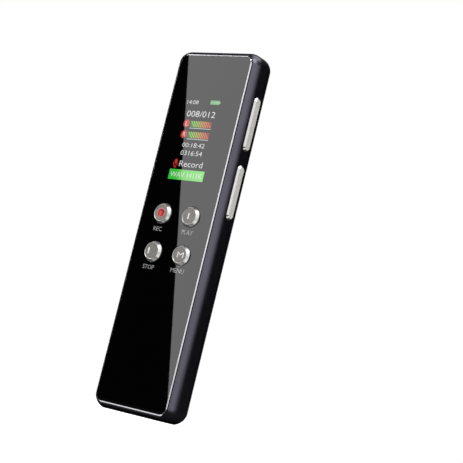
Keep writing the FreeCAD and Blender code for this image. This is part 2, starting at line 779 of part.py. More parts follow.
def side_switch(name, z):
    """One push switch under an end of a rocker."""
    return block(
        name,
        (SIDE_BOARD_TOP, SIDE_SWITCH_TOP),
        about("0", "side_switch_wide"),
        about(z, "side_switch_long"),
    )


def side_switch_board():
    """The strip that carries the four side switches, behind the main board's edge."""
    low_y = f"{BOARD_BACK} + screen_gap"
    return block(
        "side_switch_board",
        (f"{SIDE_BOARD_TOP} - side_board", SIDE_BOARD_TOP),
        (low_y, f"{low_y} + side_board_width"),
        about("side_board_z", "side_board_length"),
    )


# ---------------------------------------------------------------------------------------------
# Power slide on the -X side
# ---------------------------------------------------------------------------------------------
LEVER_REACH = 1.0


def power_switch_knob():
    """The slide's head, the flange that covers its slot from inside, and its lever."""
    body = bevelled_bar(
        "power_switch_knob", -1, "slide_z", "slide_length", "slide_width", "slide_proud",
        "slide_bevel", "slide_flange", SLIDE_INNER,
        ("slide_flange_length", "slide_width + 4 * slide_gap"),
    )
    lever = new_sketch(body, "LeverOutline", "YZ_Plane", "0", "slide_z", f"-({SLIDE_INNER})")
    rectangle(lever, "slide_lever", "slide_lever")
    pad(body, lever, str(LEVER_REACH), "Lever")
    return body


def power_switch_body():
    """The slide switch's housing, slotted for the lever's whole travel."""
    mouth = f"({SLIDE_INNER} - slide_gap)"
    low_y = f"{BOARD_BACK} + screen_gap"
    body = new_body("power_switch_body")
    middle_y = f"({low_y} + slide_body_wide / 2)"
    middle_z = "slide_z - slide_travel / 2"
    outline = new_sketch(body, "Outline", "YZ_Plane", middle_y, middle_z, f"-{mouth}")
    rectangle(outline, "slide_body_wide", "slide_body_long")
    pad(body, outline, "slide_body_deep")
    slot = new_sketch(body, "LeverSlot", "YZ_Plane", "0", middle_z, f"-{mouth}")
    room = "2 * slide_gap"
    rectangle(slot, f"slide_lever + {room}", f"slide_lever + slide_travel + {room}")
    pocket(body, slot, f"{LEVER_REACH} + slide_gap", "Slot", along_normal=True)
    return body


# ---------------------------------------------------------------------------------------------
# Sockets on the -X side
# ---------------------------------------------------------------------------------------------
def jack_ring():
    """The metal collar round the headphone socket's mouth."""
    body = new_body("jack_ring")
    sketch = new_sketch(body, "HalfSection", "XY_Plane", "0", "0", "jack_z")
    mouth = f"-({SIDE} + jack_ring_proud)"
    polygon(sketch, [
        (f"-{INNER_SIDE}", "jack_bore / 2"),
        (f"-{INNER_SIDE}", "jack_ring / 2"),
        (f"{mouth} + jack_ring_proud", "jack_ring / 2"),
        (mouth, "jack_ring / 2 - jack_ring_proud"),
        (mouth, "jack_bore / 2"),
    ])
    DOCUMENT.recompute()
    revolve(body, sketch, "H_Axis")
    return body


def headphone_jack():
    """The socket's plastic housing, bored blind for the plug."""
    body = new_body("headphone_jack")
    start = f"-({INNER_SIDE})"
    outline = new_sketch(body, "Outline", "YZ_Plane", "0", "jack_z", start)
    rectangle(outline, "jack_body", "jack_body")
    solid = pad(body, outline, "jack_body_long", "Housing")
    names = edges_where(solid, lambda e: abs(e.tangentAt(e.FirstParameter).x) > 0.99)
    dress(body, "Chamfer", solid, names, "jack_body / 8", "Corners")
    bore = new_sketch(body, "BoreOutline", "YZ_Plane", "0", "jack_z", start)
    circle(bore, "jack_bore")
    pocket(body, bore, "jack_depth - wall", "Bore", along_normal=True)
    return body


def usb_c_shell():
    """The drawn steel shell of the USB-C socket, closed at its inner end."""
    body = new_body("usb_c_shell")
    mouth = f"-({SIDE} - usb_recess)"
    outline = new_sketch(body, "Outline", "YZ_Plane", "0", "usb_z", mouth)
    pill(outline, "usb_long", "usb_wide")
    pad(body, outline, "usb_deep")
    cavity = new_sketch(body, "Cavity", "YZ_Plane", "0", "usb_z", mouth)
    pill(cavity, "usb_long - 2 * usb_wall", "usb_wide - 2 * usb_wall")
    pocket(body, cavity, "usb_deep - usb_back_wall", "Hollow", along_normal=True)
    return body


def usb_c_tongue():
    """The contact tongue in the middle of the socket."""
    return block(
        "usb_c_tongue",
        (f"-({SIDE} - usb_recess - tongue_recess)", f"-({SIDE} - usb_recess - usb_deep + usb_back_wall)"),
        about("0", "tongue_wide"),
        about("usb_z", "tongue_long"),
    )


# ---------------------------------------------------------------------------------------------
# Board
# ---------------------------------------------------------------------------------------------
def main_board():
    """The circuit board, notched on its left edge for the sockets that sit in it."""
    body = new_body("main_board")
    left = f"-({INNER_SIDE} - board_edge_gap)"
    inset = "(board_edge_gap / 2)"
    slide_notch = f"-({SLIDE_INNER} - {inset})"
    usb_notch = f"-({SIDE} - usb_recess - usb_deep - {inset})"
    jack_notch = f"(-({INNER_SIDE}) + jack_body_long + {inset})"
    slide_low = f"slide_z - slide_travel - slide_flange_length / 2 - {inset}"
    slide_high = f"slide_z + slide_flange_length / 2 + {inset}"
    usb_low = f"usb_z - usb_long / 2 - {inset}"
    usb_high = f"usb_z + usb_long / 2 + {inset}"
    jack_low = f"jack_z - jack_body / 2 - {inset}"
    jack_high = f"jack_z + jack_body / 2 + {inset}"
    sketch = new_sketch(body, "Outline", "XZ_Plane", "0", "0", f"-({BOARD_BACK})")
    polygon(sketch, [
        (left, "board_bottom"),
        ("board_right", "board_bottom"),
        ("board_right", "board_top"),
        (left, "board_top"),
        (left, jack_high),
        (jack_notch, jack_high),
        (jack_notch, jack_low),
        (left, jack_low),
        (left, usb_high),
        (usb_notch, usb_high),
        (usb_notch, usb_low),
        (slide_notch, usb_low),
        (slide_notch, slide_low),
        (left, slide_low),
    ])
    pad(body, sketch, "board")
    holes = new_sketch(body, "ScrewHoles", "XZ_Plane", "0", "0", f"-({BOARD_BACK})")
    for x, z in SCREWS:
        circle(holes, "screw_shank + 2 * fit_gap", x, z)
    pocket(body, holes, "board", "Holes", along_normal=True)
    return body


def chip(label, x, z, width, height, thickness="chip"):
    """A flat package on the back of the board."""
    return block(label, about(x, width), (BOARD_BACK, f"{BOARD_BACK} + {thickness}"), about(z, height))


def shield_can():
    """A folded tin lid over the radio-quiet part of the board."""
    x, z = "5.6", "90.2"
    body = slab(
        "shield_can", "can_wide", "can_long", "can_high", x, z, f"{BOARD_BACK} + can_high", "can_wall * 3"
    )
    hollow = new_sketch(body, "Hollow", "XZ_Plane", x, z, f"-({BOARD_BACK})")
    rectangle(hollow, "can_wide - 2 * can_wall", "can_long - 2 * can_wall")
    pocket(body, hollow, "can_high - can_wall", "Inside")
    return body


# ---------------------------------------------------------------------------------------------
# Battery, tray and screws
# ---------------------------------------------------------------------------------------------
SCREWS = [
    (f"{side}boss_x", z)
    for side in ("-", "")
    for z in ("tray_bottom + boss_z", "tray_top - boss_z")
]
BATTERY_FRONT = f"({BOARD_BACK} + tape)"
BATTERY_TOP = "(battery_bottom + battery_length)"


def battery():
    """The lithium pouch behind the board."""
    body = slab(
        "battery", "battery_width", "battery_length", "battery_thickness", "0",
        "battery_bottom + battery_length / 2", f"{BATTERY_FRONT} + battery_thickness",
        "battery_corner",
    )
    solid = body.Tip
    faces = {value_of(BATTERY_FRONT), value_of(f"{BATTERY_FRONT} + battery_thickness")}
    names = edges_where(
        solid, lambda e: any(all(abs(v.Point.y - y) < 1e-4 for v in e.Vertexes) for y in faces)
    )
    dress(body, "Fillet", solid, names, "battery_corner / 2", "SoftEdges")
    return body


def battery_tape():
    return block(
        "battery_tape",
        about("0", "battery_width - 3"),
        (BOARD_BACK, BATTERY_FRONT),
        about("battery_bottom + battery_length / 2", "battery_length - 6"),
    )


LEAD_Y = f"({BOARD_BACK} + plug_high / 2)"


def battery_lead(name, x):
    """One of the two wires from the cell to its plug."""
    wire = DOCUMENT.addObject("Part::Cylinder", name)
    wire.setExpression("Radius", bind("lead_diameter / 2"))
    wire.setExpression("Height", bind("lead_length"))
    wire.setExpression("Placement.Base.x", bind(x))
    wire.setExpression("Placement.Base.y", bind(LEAD_Y))
    wire.setExpression("Placement.Base.z", bind(BATTERY_TOP))
    return wire


def battery_connector():
    low = f"({BATTERY_TOP} + lead_length)"
    return block(
        "battery_connector",
        about("0", "plug_long"),
        (BOARD_BACK, f"{BOARD_BACK} + plug_high"),
        (low, f"{low} + plug_wide"),
    )


def inner_tray():
    """The moulded tray round the battery, with a screw boss at each corner."""
    centre = "(tray_bottom + tray_top) / 2"
    height = "tray_top - tray_bottom"
    back = f"{BOARD_BACK} + tray_depth"
    body = slab(
        "inner_tray", "tray_width", height, "tray_depth", "0", centre, back, "tray_corner"
    )
    window = new_sketch(body, "WindowOutline", "XZ_Plane", "0", centre, f"-({back})")
    rounded_rectangle(
        window, "tray_width - 2 * tray_wall", f"{height} - 2 * tray_wall", "tray_corner / 3"
    )
    pocket(body, window, "tray_depth", "Window", along_normal=True)
    bosses = new_sketch(body, "Bosses", "XZ_Plane", "0", "0", f"-({back})")
    for x, z in SCREWS:
        circle(bosses, "boss", x, z)
    pad(body, bosses, "tray_depth", "BossPads")
    bores = new_sketch(body, "Bores", "XZ_Plane", "0", "0", f"-({BOARD_BACK})")
    for x, z in SCREWS:
        circle(bores, "screw_shank", x, z)
    pocket(body, bores, "screw_length - board", "BossBores")
    return body


def tray_screw(index, x, z):
    """A small pan-head screw through the board into the tray, with a driver recess."""
    body = new_body(f"screw_{index}")
    head = new_sketch(body, "HeadOutline", "XZ_Plane", x, z, "-(board_front)")
    circle(head, "screw_head")
    pad(body, head, "screw_head_high", "Head")
    shank = new_sketch(body, "ShankOutline", "XZ_Plane", x, z, "-(board_front + screw_length)")
    circle(shank, "screw_shank")
    pad(body, shank, "screw_length", "Shank")
    recess = new_sketch(body, "RecessOutline", "XZ_Plane", x, z, "-(board_front - screw_head_high)")
    rectangle(recess, "screw_head * 0.55", "screw_head * 0.15")
    pocket(body, recess, "screw_head_high / 2", "Recess")
    return body


# ---------------------------------------------------------------------------------------------
# Sound
# ---------------------------------------------------------------------------------------------
BOOT_BOTTOM = f"({INNER_TOP} - boot_wall)"


def microphone(label, x):
    """A small can facing up into its boot, on the board's top edge."""
    low_y = "-mic_wide / 2"
    return block(
        label,
        about(x, "mic_long"),
        (low_y, "mic_wide / 2"),
        (f"{BOOT_BOTTOM} - mic_high", BOOT_BOTTOM),
    )


def microphone_boot(name, x):
    """The rubber ring that seals a microphone to its hole in the frame."""
    body = new_body(name)
    outline = new_sketch(body, "Outline", "XY_Plane", x, "0", BOOT_BOTTOM)
    circle(outline, "boot_diameter")
    pad(body, outline, "boot_wall")
    hole = new_sketch(body, "SoundHole", "XY_Plane", x, "0", BOOT_BOTTOM)
    circle(hole, "mic_hole")
    pocket(body, hole, "boot_wall", "Bore", along_normal=True)
    return body


def speaker():
    """The flat speaker above the holes in the bottom end."""
    low = f"({FLOOR} + mesh + speaker_gap)"
    return slab(
        "speaker", "speaker_long", "speaker_high", "speaker_deep", "0", f"{low} + speaker_high / 2",
        "speaker_deep / 2", "speaker_corner",
    )


def speaker_gasket():
    """The foam tube that leads the speaker's sound to the holes."""
    body = new_body("speaker_gasket")
    outline = new_sketch(body, "Outline", "XY_Plane", "0", "0", f"{FLOOR} + mesh")
    rectangle(outline, "speaker_long", "speaker_deep")
    pad(body, outline, "speaker_gap")
    inside = new_sketch(body, "Duct", "XY_Plane", "0", "0", f"{FLOOR} + mesh")
    duct = f"speaker_hole_pitch * {SPEAKER_HOLES}"
    rectangle(inside, duct, "speaker_hole * 1.6")
    pocket(body, inside, "speaker_gap", "Inside", along_normal=True)
    return body


def speaker_mesh():
    """The dust mesh across the holes."""
    return block(
        "speaker_mesh",
        about("0", "speaker_long"),
        about("0", "speaker_deep"),
        (FLOOR, f"{FLOOR} + mesh"),
    )


# ---------------------------------------------------------------------------------------------
# Assembly
# ---------------------------------------------------------------------------------------------
def build():
    parts = [
        middle_frame(),
        rim("front_rim", -1),
        front_glass(),
        glue("front_adhesive", -1),
        rim("back_rim", 1),
        pane("back_panel", 1),
        glue("back_adhesive", 1),
        display_panel(),
        display_backlight(),
        display_connector(),
        display_flex(),
        record_inlay(),
        main_board(),
    ]
    for name in KEYS:
        parts += [key_cap(name), key_plunger(name)]
    parts.append(group("front_switches", [front_switch(name) for name in KEYS]))

    parts += [rocker("volume_rocker", "rocker_upper_z"), rocker("skip_rocker", "rocker_lower_z")]
    places = [
        f"{z} {sign} rocker_switch_z"
        for z in ("rocker_upper_z", "rocker_lower_z")
        for sign in "+-"
    ]
    switches = [side_switch(f"side_switch_{i}", z) for i, z in enumerate(places)]
    parts += [group("side_switches", switches), side_switch_board()]

    parts += [power_switch_knob(), power_switch_body()]
    parts += [jack_ring(), headphone_jack(), usb_c_shell(), usb_c_tongue()]

    parts += [
        chip("main_processor", "0.5", "72", "processor", "processor"),
        chip("memory_chip", "1.5", "80.5", "memory_wide", "memory_long"),
        chip("audio_codec", "5.6", "90.2", "codec", "codec"),
        chip("clock_crystal", "-4.2", "65.4", "crystal_long", "crystal_wide", "chip * 0.8"),
        shield_can(),
    ]

    parts += [battery(), battery_tape(), battery_connector(), inner_tray()]
    leads = [battery_lead(f"lead_{i}", f"{s}lead_spacing / 2") for i, s in enumerate(("-", ""))]
    parts.append(group("battery_leads", leads))
    parts.append(group("tray_screws", [tray_screw(i, x, z) for i, (x, z) in enumerate(SCREWS)]))

    parts += [microphone("left_microphone", "-mic_x"), microphone("right_microphone", "mic_x")]
    boots = [microphone_boot(f"boot_{i}", f"{s}mic_x") for i, s in enumerate(("-", ""))]
    parts.append(group("microphone_boots", boots))
    parts += [speaker(), speaker_gasket(), speaker_mesh()]
    return parts


def check_and_export(parts):
    DOCUMENT.recompute()
    for thing in DOCUMENT.Objects:
        if {"Invalid", "Error"} & set(thing.State):
            raise RuntimeError(f"{thing.Name} failed: {thing.State}")
    os.makedirs("parts", exist_ok=True)
    for part in parts:
        shape = part.Shape
        if shape.isNull() or not shape.isValid() or not shape.Solids:
            raise RuntimeError(f"{part.Label} has no sound shape")
        shape.exportStep(f"parts/{part.Label}.step")
        box = shape.BoundBox
        print(
            f"{part.Label:20s} {len(shape.Solids)} solid(s) {shape.Volume:9.2f} mm3  "
            f"x {box.XMin:.2f}..{box.XMax:.2f}  y {box.YMin:.2f}..{box.YMax:.2f}  "
            f"z {box.ZMin:.2f}..{box.ZMax:.2f}"
        )


check_and_export(build())
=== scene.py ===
"""Handheld voice recorder standing on its end, dressed for a studio picture.

Everything is in the frame of the CAD model: metres, +Z up the length of the recorder, -Y out of
its screen and +X towards the side with the two rocker keys.
"""
import math

import bmesh
import bpy
from mathutils import Matrix, Vector


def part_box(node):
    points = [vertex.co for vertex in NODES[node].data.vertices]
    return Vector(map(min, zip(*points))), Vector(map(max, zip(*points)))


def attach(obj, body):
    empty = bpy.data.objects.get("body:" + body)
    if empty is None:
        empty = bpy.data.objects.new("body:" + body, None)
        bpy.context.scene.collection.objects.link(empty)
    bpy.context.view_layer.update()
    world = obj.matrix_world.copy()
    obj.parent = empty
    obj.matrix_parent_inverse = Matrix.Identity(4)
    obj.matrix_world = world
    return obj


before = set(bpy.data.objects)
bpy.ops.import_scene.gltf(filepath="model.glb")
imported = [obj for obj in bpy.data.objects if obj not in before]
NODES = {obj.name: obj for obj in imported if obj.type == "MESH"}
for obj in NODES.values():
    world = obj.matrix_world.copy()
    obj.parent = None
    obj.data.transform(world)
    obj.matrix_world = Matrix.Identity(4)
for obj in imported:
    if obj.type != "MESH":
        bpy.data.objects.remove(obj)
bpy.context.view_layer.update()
MM = 0.001
scene = bpy.context.scene
scene.view_settings.view_transform = "Standard"

GLASS_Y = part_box("front_glass")[0].y / MM
PANEL_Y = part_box("back_panel")[1].y / MM
RIM_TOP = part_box("back_rim")[1].y / MM

# millimetres
BEVEL_DROP = 0.22                       # how deep the rims' bevel goes
KEY_DISH = 0.06                         # how far a key's face lies under its lip
KEY_FACE_RADIUS = 2.18                  # of the spun face inside the lip
PRINT = 0.012                           # how far a print's underside stands off its face
INK = 0.010                             # how thick a print is
OVERPRINT = PRINT + INK + 0.004         # the underside of a print that lies over another
CAP_LOW, CAP_HIGH = 0.002, 0.012        # the underside and the top of a mark on a key
METER_LEFT, METER_RIGHT = -3.25, 4.2    # the ends of a level meter
BAR_LEFT, BAR_RIGHT = -6.4, 5.7         # the ends of the green bar


def key_centre(name):
    """Where the middle of a round key is on the front, in millimetres."""
    lo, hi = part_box(f"{name}_button")
    return (lo.x + hi.x) / 2 / MM, (lo.z + hi.z) / 2 / MM


# ---------------------------------------------------------------------------------------------
# Materials
# ---------------------------------------------------------------------------------------------
class Nodes:
    """A material under construction: its nodes, its Principled shader and its object space."""

    INPUTS = {
        "base": "Base Color", "metallic": "Metallic", "rough": "Roughness", "ior": "IOR",
        "coat": "Coat Weight", "coat_rough": "Coat Roughness",
        "glow": "Emission Color", "glow_power": "Emission Strength",
    }
    # the Mix node's sockets when it mixes colours
    COLOR_A, COLOR_B, COLOR_OUT = 6, 7, 2
    NOISE_ROUGHNESS = 0.55

    def __init__(self, name):
        self.mat = bpy.data.materials.new(name)
        self.mat.use_nodes = True
        self.tree = self.mat.node_tree
        self.tree.nodes.clear()
        self.out = self.add("ShaderNodeOutputMaterial")
        self.shader = self.add("ShaderNodeBsdfPrincipled")
        self.link(self.shader.outputs[0], self.out.inputs[0])
        self.space = self.add("ShaderNodeTexCoord").outputs["Object"]

    def add(self, kind, **settings):
        node = self.tree.nodes.new(kind)
        for key, value in settings.items():
            setattr(node, key, value)
        return node

    def link(self, a, b):
        self.tree.links.new(a, b)

    def put(self, value, socket):
        """A link if value is a socket, otherwise a plain value."""
        if isinstance(value, bpy.types.NodeSocket):
            self.link(value, socket)
        else:
            socket.default_value = value

    def set(self, **values):
        """Set the shader's inputs, by the short names above."""
        for key, value in values.items():
            self.put(value, self.shader.inputs[self.INPUTS[key]])

    def math(self, operation, a, b=0.0, c=0.0):
        node = self.add("ShaderNodeMath", operation=operation)
        for value, socket in zip((a, b, c), node.inputs):
            self.put(value, socket)
        return node.outputs[0]

    def split(self):
        """The three coordinates of the point, in metres."""
        node = self.add("ShaderNodeSeparateXYZ")
        self.link(self.space, node.inputs[0])
        return node.outputs

    def noise(self, scale, detail=3.0, stretch=None):
        where = self.space
        if stretch:
            mapping = self.add("ShaderNodeMapping")
            mapping.inputs["Scale"].default_value = stretch
            self.link(where, mapping.inputs["Vector"])
            where = mapping.outputs[0]
        node = self.add("ShaderNodeTexNoise")
        self.link(where, node.inputs["Vector"])
        node.inputs["Scale"].default_value = scale
        node.inputs["Detail"].default_value = detail
        node.inputs["Roughness"].default_value = self.NOISE_ROUGHNESS
        return node.outputs["Fac"]

    def ramp(self, fac, stops):
        """A colour that follows fac through stops of (place, colour)."""
        node = self.add("ShaderNodeValToRGB")
        elements = node.color_ramp.elements
        while len(elements) < len(stops):
            elements.new(0.5)
        for element, (at, color) in zip(elements, stops):
            element.position = at
            element.color = (*color, 1.0)
        self.link(fac, node.inputs[0])
        return node.outputs[0]

    def span(self, value, low, high, to_low=0.0, to_high=1.0):
        """value carried from low..high to to_low..to_high."""
        node = self.add("ShaderNodeMapRange")
        for number, socket in zip((value, low, high, to_low, to_high), node.inputs):
            self.put(number, socket)
        return node.outputs[0]

    def mix(self, fac, color, other):
        """The plain colour where fac is 0, the other socket's where it is 1."""
        node = self.add("ShaderNodeMix", data_type="RGBA")
        self.put(fac, node.inputs["Factor"])
        self.put((*color, 1.0), node.inputs[self.COLOR_A])
        self.put(other, node.inputs[self.COLOR_B])
        return node.outputs[self.COLOR_OUT]

    def bump(self, height, strength, distance):
        node = self.add("ShaderNodeBump")
        node.inputs["Strength"].default_value = strength
        node.inputs["Distance"].default_value = distance
        self.link(height, node.inputs["Height"])
        self.link(node.outputs[0], self.shader.inputs["Normal"])


def tint(color, amount):
    """A colour and a lighter one, the two ends of a slight variation."""
    return tuple(c * (1 - amount) for c in color), tuple(min(1, c * (1 + amount)) for c in color)


def speckled(name, color, amount, scale, rough, spread, bump=0.0, grain=4000.0, **more):
    """A surface whose colour and roughness wander a little, with a fine grain."""
    m = Nodes(name)
    low, high = tint(color, amount)
    m.set(base=m.ramp(m.noise(scale), [(0.3, low), (0.7, high)]))
    m.set(rough=m.span(m.noise(scale * 2.3), 0.3, 0.7, rough - spread, rough + spread), **more)
    if bump:
        m.bump(m.noise(grain, 2.0), bump, 2e-5)
    return m.mat


def frame_metal():
    """Bead-blasted anodised aluminium, nearly black with a cool violet cast."""
    m = Nodes("anodised_frame")
    cloud = m.noise(60.0, 4.0)
    m.set(base=m.ramp(cloud, [(0.3, (0.116, 0.111, 0.140)), (0.7, (0.130, 0.125, 0.156))]))
    m.set(rough=m.span(m.noise(900.0), 0.3, 0.7, 0.27, 0.33), metallic=1.0)
    m.bump(m.noise(9000.0, 2.0), 0.12, 1e-5)
    return m.mat


def rim_metal():
    """Diamond-cut edge: a bright bevel with fine lines along the hoop, black below it."""
    m = Nodes("cut_rim")
    line = m.noise(600.0, 2.0, stretch=(1.0, 12.0, 0.2))
    bright = m.ramp(line, [(0.3, (0.74, 0.74, 0.76)), (0.7, (0.86, 0.86, 0.88))])
    depth = m.math("ABSOLUTE", m.split()[1])
    on_cut = m.math("GREATER_THAN", depth, (RIM_TOP - 0.8 * BEVEL_DROP) * MM)
    m.set(base=m.mix(on_cut, (0.02, 0.02, 0.023), bright))
    m.set(rough=m.span(line, 0.3, 0.7, 0.12, 0.2), metallic=1.0)
    return m.mat


def gloss_black(name, low, high, rough):
    """Black-backed glass: a clean sheet with the faintest wander in its polish."""
    m = Nodes(name)
    m.set(base=m.ramp(m.noise(25.0), [(0.3, low), (0.7, high)]))
    m.set(rough=m.span(m.noise(300.0), 0.3, 0.7, rough, rough * 1.5))
    m.set(ior=1.5)
    return m.mat


def back_black():
    """The back panel's gloss film over a very fine fleck."""
    m = Nodes("back_film")
    m.set(base=m.ramp(m.noise(40.0), [(0.3, (0.009, 0.009, 0.010)), (0.7, (0.012, 0.012, 0.013))]))
    m.set(rough=m.span(m.noise(700.0), 0.3, 0.7, 0.16, 0.2), ior=1.5)
    m.bump(m.noise(6000.0, 2.0), 0.04, 1e-5)
    return m.mat


def key_metal(name):
    """Turned metal: a satin spun face, a bright edge and a polished wall."""
    m = Nodes(f"{name}_key_metal")
    x, z = key_centre(name)
    sx, _, sz = m.split()
    dx = m.math("SUBTRACT", sx, x * MM)
    dz = m.math("SUBTRACT", sz, z * MM)
    squares = m.math("ADD", m.math("MULTIPLY", dx, dx), m.math("MULTIPLY", dz, dz))
    radius = m.math("SQRT", squares)
    rings = m.add("ShaderNodeTexNoise")
    combined = m.add("ShaderNodeCombineXYZ")
    m.link(radius, combined.inputs[0])
    m.link(combined.outputs[0], rings.inputs["Vector"])
    rings.inputs["Scale"].default_value = 16000.0
    rings.inputs["Detail"].default_value = 1.0
    spun = rings.outputs["Fac"]
    on_face = m.math("LESS_THAN", radius, KEY_FACE_RADIUS * MM)
    satin = m.ramp(spun, [(0.3, (0.30, 0.287, 0.27)), (0.7, (0.37, 0.354, 0.335))])
    m.set(base=m.mix(on_face, (0.86, 0.85, 0.835), satin), metallic=1.0)
    m.set(rough=m.math("MULTIPLY_ADD", on_face, 0.08, 0.34))
    m.bump(spun, 0.10, 1e-5)
    return m.mat


def side_key_metal(name, flat_x):
    """A warm satin flat, that far out from the middle plane, with a polished bevel all round it."""
    m = Nodes(name)
    sx = m.split()[0]
    grain = m.noise(1200.0, 2.0, stretch=(1.0, 1.0, 0.08))
    satin = m.ramp(grain, [(0.3, (0.93, 0.905, 0.85)), (0.7, (1.0, 0.975, 0.92))])
    on_flat = m.math("GREATER_THAN", m.math("ABSOLUTE", sx), flat_x - 0.01 * MM)
    m.set(base=m.mix(on_flat, (0.72, 0.71, 0.69), satin))
    m.set(metallic=m.math("SUBTRACT", 1.0, m.math("MULTIPLY", on_flat, 0.85)))
    m.set(rough=m.math("MULTIPLY_ADD", on_flat, 0.2, 0.14))
    m.bump(grain, 0.05, 1e-5)
    return m.mat


LIT_ROUGHNESS = 0.03
UNDER_GLASS = [(0.3, (0.004,) * 3), (0.7, (0.006,) * 3)]


def glowing(name, color, power):
    """A lit print behind glass: it glows, and the glass over it still mirrors the room."""
    m = Nodes(name)
    wander = m.noise(500.0, 1.0)
    low, high = tint(color, 0.06)
    lit = m.ramp(wander, [(0.3, low), (0.7, high)])
    m.set(base=m.ramp(wander, UNDER_GLASS), ior=1.5)
    m.set(glow=lit, glow_power=power, rough=LIT_ROUGHNESS)
    return m.mat


# green to red along a level meter, and deep to pale green along the bar
METER_RUN = [
    (0.0, (0.12, 0.62, 0.06)), (0.3, (0.34, 0.56, 0.06)), (0.55, (0.62, 0.34, 0.05)),
    (0.8, (0.72, 0.14, 0.04)), (1.0, (0.68, 0.08, 0.05)),
]
BAR_RUN = [
    (0.0, (0.035, 0.50, 0.045)), (0.22, (0.05, 0.52, 0.05)), (0.34, (0.16, 0.62, 0.12)),
    (1.0, (0.22, 0.70, 0.16)),
]


def shaded_light(name, x_low, x_high, power, run):
    """A lit print whose colour runs along its length, such as the level meter's green to red."""
    m = Nodes(name)
    along = m.span(m.split()[0], x_low * MM, x_high * MM)
    m.set(base=m.ramp(m.noise(500.0), UNDER_GLASS), ior=1.5)
    m.set(glow=m.ramp(along, run), glow_power=power, rough=LIT_ROUGHNESS)
    return m.mat


def printed(name, color, rough, lit=0.0, glass=0.0):
    """Matt ink: lit adds a painted glow of its own colour, glass lays the pane's gloss over it."""
    return speckled(
        name, color, 0.04, 400.0, rough, 0.05, glow=(*color, 1.0), glow_power=lit,
        coat=glass, coat_rough=0.01,
    )


def board_material():
    """Solder mask over copper runs."""
    m = Nodes("solder_mask")
    brick = m.add("ShaderNodeTexBrick")
    mapping = m.add("ShaderNodeMapping")
    mapping.inputs["Rotation"].default_value = (math.radians(90), 0, 0)
    m.link(m.space, mapping.inputs["Vector"])
    m.link(mapping.outputs[0], brick.inputs["Vector"])
    brick.inputs["Scale"].default_value = 700.0
    brick.inputs["Color1"].default_value = (0.006, 0.055, 0.025, 1)
    brick.inputs["Color2"].default_value = (0.008, 0.075, 0.032, 1)
    brick.inputs["Mortar"].default_value = (0.02, 0.13, 0.06, 1)
    m.set(base=brick.outputs["Color"])
    m.set(rough=m.span(m.noise(800.0), 0.3, 0.7, 0.25, 0.4), coat=0.4)
    return m.mat


def assign(material, *nodes):
    """Give CAD nodes a material."""
    for node in nodes:
        obj = NODES[node]
        if not obj.material_slots:
            obj.data.materials.append(material)
        for slot in obj.material_slots:
            slot.material = material


BLACK_PLASTIC = speckled("black_plastic", (0.018, 0.018, 0.019), 0.15, 90.0, 0.45, 0.08, bump=0.2)
TIN = speckled("tinned_steel", (0.62, 0.62, 0.60), 0.06, 300.0, 0.32, 0.06, bump=0.08, metallic=1.0)
RUBBER = speckled("soft_rubber", (0.02, 0.02, 0.021), 0.15, 200.0, 0.7, 0.08, bump=0.25)
CHIP = speckled("chip_package", (0.02, 0.02, 0.022), 0.1, 600.0, 0.5, 0.06, bump=0.3)
TAPE = speckled("black_tape", (0.03, 0.03, 0.03), 0.1, 500.0, 0.75, 0.05, bump=0.3)

assign(frame_metal(), "middle_frame")
assign(rim_metal(), "front_rim", "back_rim")
assign(
    speckled("collar_metal", (0.78, 0.77, 0.75), 0.06, 500.0, 0.2, 0.04, metallic=1.0),
    "jack_ring",
)
assign(gloss_black("front_gloss", (0.0004,) * 3, (0.0008,) * 3, 0.008), "front_glass")
assign(back_black(), "back_panel")
assign(TAPE, "front_adhesive", "back_adhesive", "battery_tape")
assign(
    gloss_black("screen_cell", (0.004, 0.004, 0.005), (0.006, 0.006, 0.008), 0.05),
    "display_panel",
)
assign(
    BLACK_PLASTIC, "display_backlight", "display_connector", "record_plunger", "play_plunger",
    "stop_plunger", "menu_plunger", "headphone_jack", "usb_c_tongue", "speaker",
)
assign(speckled("amber_flex", (0.42, 0.20, 0.04), 0.1, 300.0, 0.35, 0.05, bump=0.1), "display_flex")
assign(board_material(), "main_board", "side_switch_board")
for key in ("record", "play", "stop", "menu"):
    assign(key_metal(key), f"{key}_button")
for key in ("volume_rocker", "skip_rocker"):
    assign(side_key_metal(f"{key}_metal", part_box(key)[1].x), key)
assign(side_key_metal("slide_metal", -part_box("power_switch_knob")[0].x), "power_switch_knob")
assign(
    TIN, "front_switches", "side_switches", "power_switch_body", "usb_c_shell",
    "clock_crystal", "shield_can", "left_microphone", "right_microphone", "speaker_mesh",
)
assign(CHIP, "main_processor", "memory_chip", "audio_codec")
assign(
    speckled(
        "foil_pouch", (0.55, 0.56, 0.58), 0.06, 120.0, 0.4, 0.08, bump=0.4, grain=900.0, metallic=0.8,
    ),
    "battery",
)
assign(speckled("white_plastic", (0.72, 0.71, 0.66), 0.04, 200.0, 0.5, 0.05), "battery_connector")
assign(
    speckled("tray_plastic", (0.05, 0.05, 0.055), 0.12, 120.0, 0.55, 0.06, bump=0.25),
    "inner_tray",
)
assign(speckled("wire_jacket", (0.40, 0.02, 0.02), 0.08, 300.0, 0.45, 0.05), "battery_leads")
assign(
    speckled("plated_screw", (0.28, 0.28, 0.29), 0.08, 500.0, 0.3, 0.05, metallic=1.0),
    "tray_screws",
)
assign(RUBBER, "microphone_boots", "speaker_gasket")
assign(speckled("record_red", (0.72, 0.03, 0.025), 0.1, 500.0, 0.3, 0.04, coat=0.4), "record_inlay")

